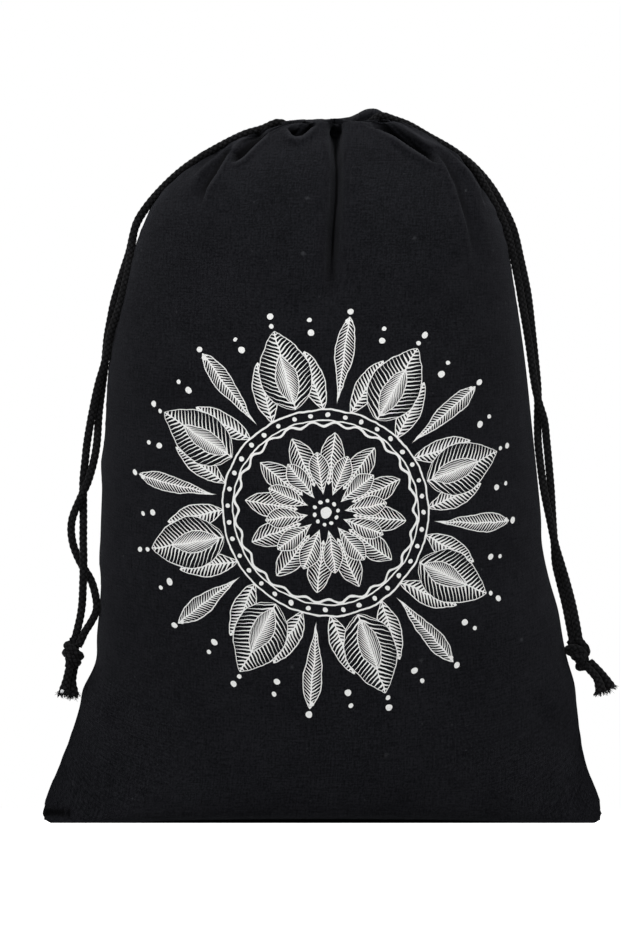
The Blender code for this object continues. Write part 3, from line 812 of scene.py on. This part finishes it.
# in mm: the middle of each knot, and the way its cords run through it
knots = {
    "left": {"middle": (-134.3, -3.0, 91.6), "run": (-0.20, 0.0, -1.0)},
    "right": {"middle": (137.95, -3.0, 91.45), "run": (0.42, 0.0, -1.0)},
}
tails = {
    "left": {
        "starts": [(-135.8, -4.8, 85.8), (-133.4, -1.4, 85.6)],
        "bends": [(-137.8, -5.0, 77.2), (-134.8, -1.2, 76.8)],
        "ends": [(-139.4, -5.4, 69.7), (-134.2, -1.0, 68.7)],
    },
    "right": {
        "starts": [(141.2, -4.2, 85.2), (143.8, -1.8, 87.0)],
        "bends": [(147.6, -4.4, 78.0), (150.7, -1.8, 79.9)],
        "ends": [(149.9, -4.8, 70.6), (155.2, -1.5, 72.8)],
    },
}


def runsOf(pair):
    first, second = [], []
    for i, (x, y, z, gap, turn) in enumerate(pair):
        before, after = pair[max(i - 1, 0)], pair[min(i + 1, len(pair) - 1)]
        run = Vector((after[0] - before[0], 0.0, after[2] - before[2])).normalized()
        beside = Vector((-run.z, 0.0, run.x))
        angle = math.radians(turn)
        offset = gap * mm * (math.cos(angle) * beside + math.sin(angle) * Vector((0.0, 1.0, 0.0)))
        middle = Vector((x * mm, y * mm, z * mm))
        first.append(middle + offset)
        second.append(middle - offset)
    return first, second


def evenPath(points, step):
    fine = [Vector(curveThrough(points, i, t / 16)) for i in range(len(points) - 1) for t in range(16)]
    fine.append(Vector(points[-1]))
    along = lengthsAlong(fine)
    count = max(2, round(along[-1] / step))
    return [fine[at].lerp(fine[at + 1], share) for at, share in evenSteps(along, count)], along[-1]


def sweepCord(mesh, uvLayer, path, radius, flare=None):
    # a round braid: plaits in staggered diamonds, as relief on one closed tube
    sides = cord["sides"]
    across = (path[1] - path[0]).normalized().orthogonal().normalized()
    rings, travelled = [], 0.0
    for i, p in enumerate(path):
        ahead = (path[min(i + 1, len(path) - 1)] - path[max(i - 1, 0)]).normalized()
        across = (across - ahead * across.dot(ahead)).normalized()
        other = ahead.cross(across)
        if i:
            travelled += (p - path[i - 1]).length
        wide = flare(i / (len(path) - 1)) if flare else 1.0
        wave = math.cos(2 * math.pi * travelled / cord["plait"])
        ring = []
        for k in range(sides):
            angle = 2 * math.pi * k / sides
            diamond = abs(0.5 * (math.cos(4 * angle) + wave)) ** 0.5
            hollow = cord["relief"] * (1.0 - diamond)
            reach = radius * wide * (1.11 - hollow)
            ring.append(mesh.verts.new(p + (across * math.cos(angle) + other * math.sin(angle)) * reach))
        rings.append((ring, travelled))
    for (low, s0), (high, s1) in zip(rings, rings[1:]):
        for k in range(sides):
            nextK = (k + 1) % sides
            face = mesh.faces.new([low[k], low[nextK], high[nextK], high[k]])
            face.smooth = True
            places = [(k, s0), (k + 1, s0), (k + 1, s1), (k, s1)]
            for loop, (turnAt, s) in zip(face.loops, places):
                loop[uvLayer].uv = (turnAt / sides, s / cord["plait"])
    for (ring, s), ahead, turned in (
        (rings[0], path[0] - path[1], True),
        (rings[-1], path[-1] - path[-2], False),
    ):
        middle = sum((v.co for v in ring), Vector()) / sides
        tip = mesh.verts.new(middle + ahead.normalized() * radius * 0.25)
        for k in range(sides):
            corners = [ring[k], ring[(k + 1) % sides], tip]
            face = mesh.faces.new(corners[::-1] if turned else corners)
            face.smooth = True
            for loop in face.loops:
                loop[uvLayer].uv = (0.0, s / cord["plait"])


def finishMesh(name, mesh, material):
    data = bpy.data.meshes.new(name)
    mesh.to_mesh(data)
    mesh.free()
    piece = bpy.data.objects.new(name, data)
    piece.data.materials.append(material)
    bpy.context.scene.collection.objects.link(piece)
    return piece


def cordMesh():
    mesh = bmesh.new()
    return mesh, mesh.loops.layers.uv.new("cord")


def knotFrame(side):
    run = Vector(knots[side]["run"]).normalized()
    across = Vector((-run.z, 0.0, run.x))
    return Vector(knots[side]["middle"]) * mm, run, across


# The overhand knots, in mm along (across, to the viewer, down): the middle of both cords and half the step
# between them.
knotRoutes = {
    "left": [
        ((0.0, 0.0, -8.2), (1.9, 0.9, 0.0)),
        ((0.9, -0.8, -6.4), (1.7, 0.3, -0.7)),
        ((0.6, -2.6, -4.0), (0.7, 0.3, -1.6)),
        ((-2.8, -2.2, -2.3), (0.1, 0.2, -1.9)),
        ((-4.0, 0.7, -1.2), (0.0, 0.2, -1.95)),
        ((-1.9, 3.2, -0.2), (0.4, 0.1, -1.9)),
        ((1.2, 3.4, 1.5), (0.7, 0.0, -1.8)),
        ((3.6, 1.5, 2.6), (0.5, 0.0, -1.7)),
        ((3.0, -1.6, 3.2), (0.2, 0.2, -1.7)),
        ((0.2, -2.8, 2.6), (0.4, -0.6, -1.5)),
        ((-1.8, -0.6, 2.8), (0.2, -1.6, -0.5)),
        ((-0.6, 0.4, 5.0), (-0.5, 1.8, 0.0)),
        ((0.0, 0.0, 8.0), (-0.9, 2.0, 0.0)),
    ],
    "right": [
        ((0.0, 0.0, -8.4), (1.9, 0.7, 0.0)),
        ((0.8, 0.5, -6.2), (1.9, 0.7, 0.0)),
        ((2.0, 1.5, -3.2), (1.7, 0.5, -0.6)),
        ((3.0, 1.3, 0.4), (1.5, 0.4, -1.0)),
        ((2.8, -1.0, 3.2), (0.8, 0.2, -1.6)),
        ((0.2, -2.9, 2.4), (0.2, 0.2, -1.8)),
        ((-2.8, -2.0, 0.0), (-0.6, 0.2, -1.7)),
        ((-3.9, 0.3, -2.3), (-0.9, 0.3, -1.5)),
        ((-2.6, 2.8, -2.4), (-0.2, 0.3, -1.8)),
        ((-0.2, 3.7, -0.4), (0.8, 0.0, -1.6)),
        ((1.0, 3.0, 2.4), (1.3, 0.1, -1.1)),
        ((-0.8, 2.0, 4.4), (0.9, 0.6, -1.3)),
        ((-2.2, 0.0, 5.6), (0.6, 0.6, -1.3)),
        ((-0.6, -1.2, 6.6), (0.2, 0.8, -1.2)),
        ((1.2, -0.4, 7.4), (-0.8, 1.1, -0.6)),
        ((2.4, 0.2, 8.8), (-1.5, 1.2, 0.4)),
    ],
}
knotStrand = 0.00196


def buildKnot(side, material):
    middle, run, across = knotFrame(side)
    toViewer = Vector((0.0, -1.0, 0.0))
    mesh, uvLayer = cordMesh()
    for way in (1, -1):
        points = []
        for at, step in knotRoutes[side]:
            u, v, w = [(at[k] + way * step[k]) * mm for k in range(3)]
            points.append(middle + across * u + toViewer * v + run * w)
        path, _ = evenPath(points, cord["step"])
        sweepCord(mesh, uvLayer, path, knotStrand)
    core, _ = evenPath([middle - run * 0.0045, middle, middle + run * 0.0055], cord["step"])
    sweepCord(mesh, uvLayer, core, knotStrand * 1.25)
    return finishMesh("knot" + side.capitalize(), mesh, material)


frays = {"tufts": 34, "hairs": 40, "spread": 1.3, "reach": 0.0027}


def buildTail(side, index, material):
    path, _ = evenPath([Vector(tails[side][key][index]) * mm for key in ("starts", "bends", "ends")], cord["step"])
    mesh, uvLayer = cordMesh()
    sweepCord(mesh, uvLayer, path, cord["diameter"] / 2, lambda t: 1.0 + 0.40 * smoothStep((t - 0.5) / 0.5))
    rng = random.Random(11 + index + (2 if side == "left" else 0))
    forward = (path[-1] - path[-4]).normalized()
    sideways = forward.orthogonal().normalized()
    other = forward.cross(sideways)
    bareLayer = mesh.verts.layers.float.new("bare")
    for k in range(frays["tufts"] + frays["hairs"]):
        tuft = k < frays["tufts"]
        angle = rng.uniform(0, 2 * math.pi)
        away = sideways * math.cos(angle) + other * math.sin(angle)
        root = path[-1] - forward * rng.uniform(0.0004, 0.0018)
        root += away * frays["reach"] * math.sqrt(rng.uniform(0.1, 1.0)) * (0.8 if tuft else 1.0)
        lean = forward + away * rng.uniform(0.0, frays["spread"])
        size = rng.uniform(0.0012, 0.0038) if tuft else rng.uniform(0.0014, 0.0044)
        curl = (sideways * rng.uniform(-1, 1) + other * rng.uniform(-1, 1)) * size * (0.25 if tuft else 0.6)
        points = [root + lean.normalized() * size * t + curl * t * t for t in (0.0, 0.25, 0.5, 0.75, 1.0)]
        addFibre(mesh, uvLayer, points, rng.uniform(0.00036, 0.00060) if tuft else rng.uniform(0.00012, 0.00021))
    if side == "left" and index == 0:
        # the undyed core shows at this end
        for k in range(5):
            root = path[-1] + Vector((0.0003 * k - 0.0013, -0.0029, 0.0016 + 0.0004 * (k % 2)))
            made = addFibre(mesh, uvLayer, [root + forward * 0.0005 * t for t in range(4)], 0.00045)
            for vertex in made:
                vertex[bareLayer] = 1.0
    return finishMesh("tail" + side.capitalize() + "AB"[index], mesh, material)


def addFibre(mesh, uvLayer, points, radius):
    rings = []
    for i, p in enumerate(points):
        ahead = (points[min(i + 1, len(points) - 1)] - points[max(i - 1, 0)]).normalized()
        across = ahead.orthogonal().normalized()
        other = ahead.cross(across)
        size = radius * (1.0 - 0.6 * i / (len(points) - 1))
        corners = [(across * math.cos(a) + other * math.sin(a)) * size for a in (0.0, 2.094, 4.189)]
        rings.append([mesh.verts.new(p + corner) for corner in corners])
    for low, high in zip(rings, rings[1:]):
        for k in range(3):
            mesh.faces.new([low[k], low[(k + 1) % 3], high[(k + 1) % 3], high[k]]).smooth = True
    mesh.faces.new(rings[0][::-1])
    mesh.faces.new(rings[-1])
    return [vertex for ring in rings for vertex in ring]


def buildRun(side, letter, points, material):
    path, length = evenPath(points, cord["step"])
    mesh, uvLayer = cordMesh()
    sweepCord(mesh, uvLayer, path, cord["diameter"] / 2)
    piece = finishMesh("drawcord" + side.capitalize() + letter.upper(), mesh, material)
    return piece, path, length


weave, lint = weaveGroup(), lintGroup()
rosette = printGroup()
frontLinen = linenMaterial("printedLinen", weave, lint, rosette)
backLinen = linenMaterial("plainLinen", weave, lint)
cotton = cordMaterial()
print("materials made")

for name, front, folds, creases, material in (
    ("frontPanel", True, frontFolds, frontCreases, frontLinen),
    ("backPanel", False, backFolds, backCreases, backLinen),
):
    panel = buildPanel(name, front, folds, creases)
    panel.data.materials.append(material)
    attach(panel, "root")
    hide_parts("bag_front" if front else "bag_back")
print("panels made")

for side, pair in (("left", leftPair), ("right", rightPair)):
    knot = buildKnot(side, cotton)
    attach(knot, "root")
    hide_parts("knot_" + side)
    for index, points in enumerate(runsOf(pair)):
        letter = "ab"[index]
        tail = buildTail(side, index, cotton)
        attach(tail, "root")
        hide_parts("tail_" + side + "_" + letter)
        run, path, length = buildRun(side, letter, points, cotton)
        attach(run, "root")
        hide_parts("drawcord_" + side + "_" + letter)
        [path[k] for k in range(0, len(path), 4)] + [path[-1]]
        [tail, knot] if index == 0 else [tail]
print("cords made")

studio = {
    "distance": 5.0,
    "aim": (-0.0065, 0.0, 0.1927),
    "frameHeight": 0.5022,
    "cameraHeight": 0.010,
    "light": 0.28,
}


def buildStudio():
    bpy.ops.object.select_all(action="DESELECT")
    bpy.ops.mesh.primitive_plane_add(size=30.0, location=(0.0, 0.0, -0.0002))
    floor = bpy.context.active_object
    floor.name = "floor"
    bpy.ops.object.transform_apply(location=True)
    material, tree, shader = newMaterial("paleFloor")
    seen = outputsOf(tree, "ShaderNodeLightPath")["Is Camera Ray"]
    feed(shader, {"Base Color": (0.72, 0.72, 0.72, 1.0), "Roughness": 0.8})
    feed(shader, {"Emission Color": (1.0, 1.0, 1.0, 1.0), "Emission Strength": seen * 1.0})
    floor.data.materials.append(material)

    world = bpy.data.worlds.new("softRoom")
    bpy.context.scene.world = world
    world.use_nodes = True
    tree = world.node_tree
    eye = outputsOf(tree, "ShaderNodeLightPath")["Is Camera Ray"]
    strength = ramp(eye, 0.0, 1.0, studio["light"], 1.0)
    feed(tree.nodes["Background"], {"Color": (1.0, 1.0, 1.0, 1.0), "Strength": strength})

    for name, place, size, power in (
        ("keySoftbox", (-0.2, -1.3, 1.9), 1.1, 40.0),
        ("topSoftbox", (0.0, 0.1, 1.6), 1.0, 12.0),
        ("leftSoftbox", (-1.2, -0.5, 0.8), 0.8, 5.5),
        ("rightSoftbox", (1.2, -0.5, 0.8), 0.8, 6.0),
    ):
        light = bpy.data.lights.new(name, "AREA")
        light.size = size
        light.energy = power
        lamp = bpy.data.objects.new(name, light)
        lamp.location = place
        lamp.rotation_euler = (Vector((0, 0, 0.2)) - Vector(place)).to_track_quat("-Z", "Y").to_euler()
        bpy.context.scene.collection.objects.link(lamp)

    camera = bpy.data.cameras.new("camera")
    viewer = bpy.data.objects.new("camera", camera)
    aim = Vector(studio["aim"])
    viewer.location = (aim.x, -studio["distance"], studio["cameraHeight"])
    viewer.rotation_euler = (aim - viewer.location).to_track_quat("-Z", "Y").to_euler()
    camera.lens = camera.sensor_width * (aim - viewer.location).length / studio["frameHeight"]
    bpy.context.scene.collection.objects.link(viewer)
    bpy.context.scene.camera = viewer
    bpy.context.scene.view_settings.view_transform = "Standard"


buildStudio()
print("studio made")
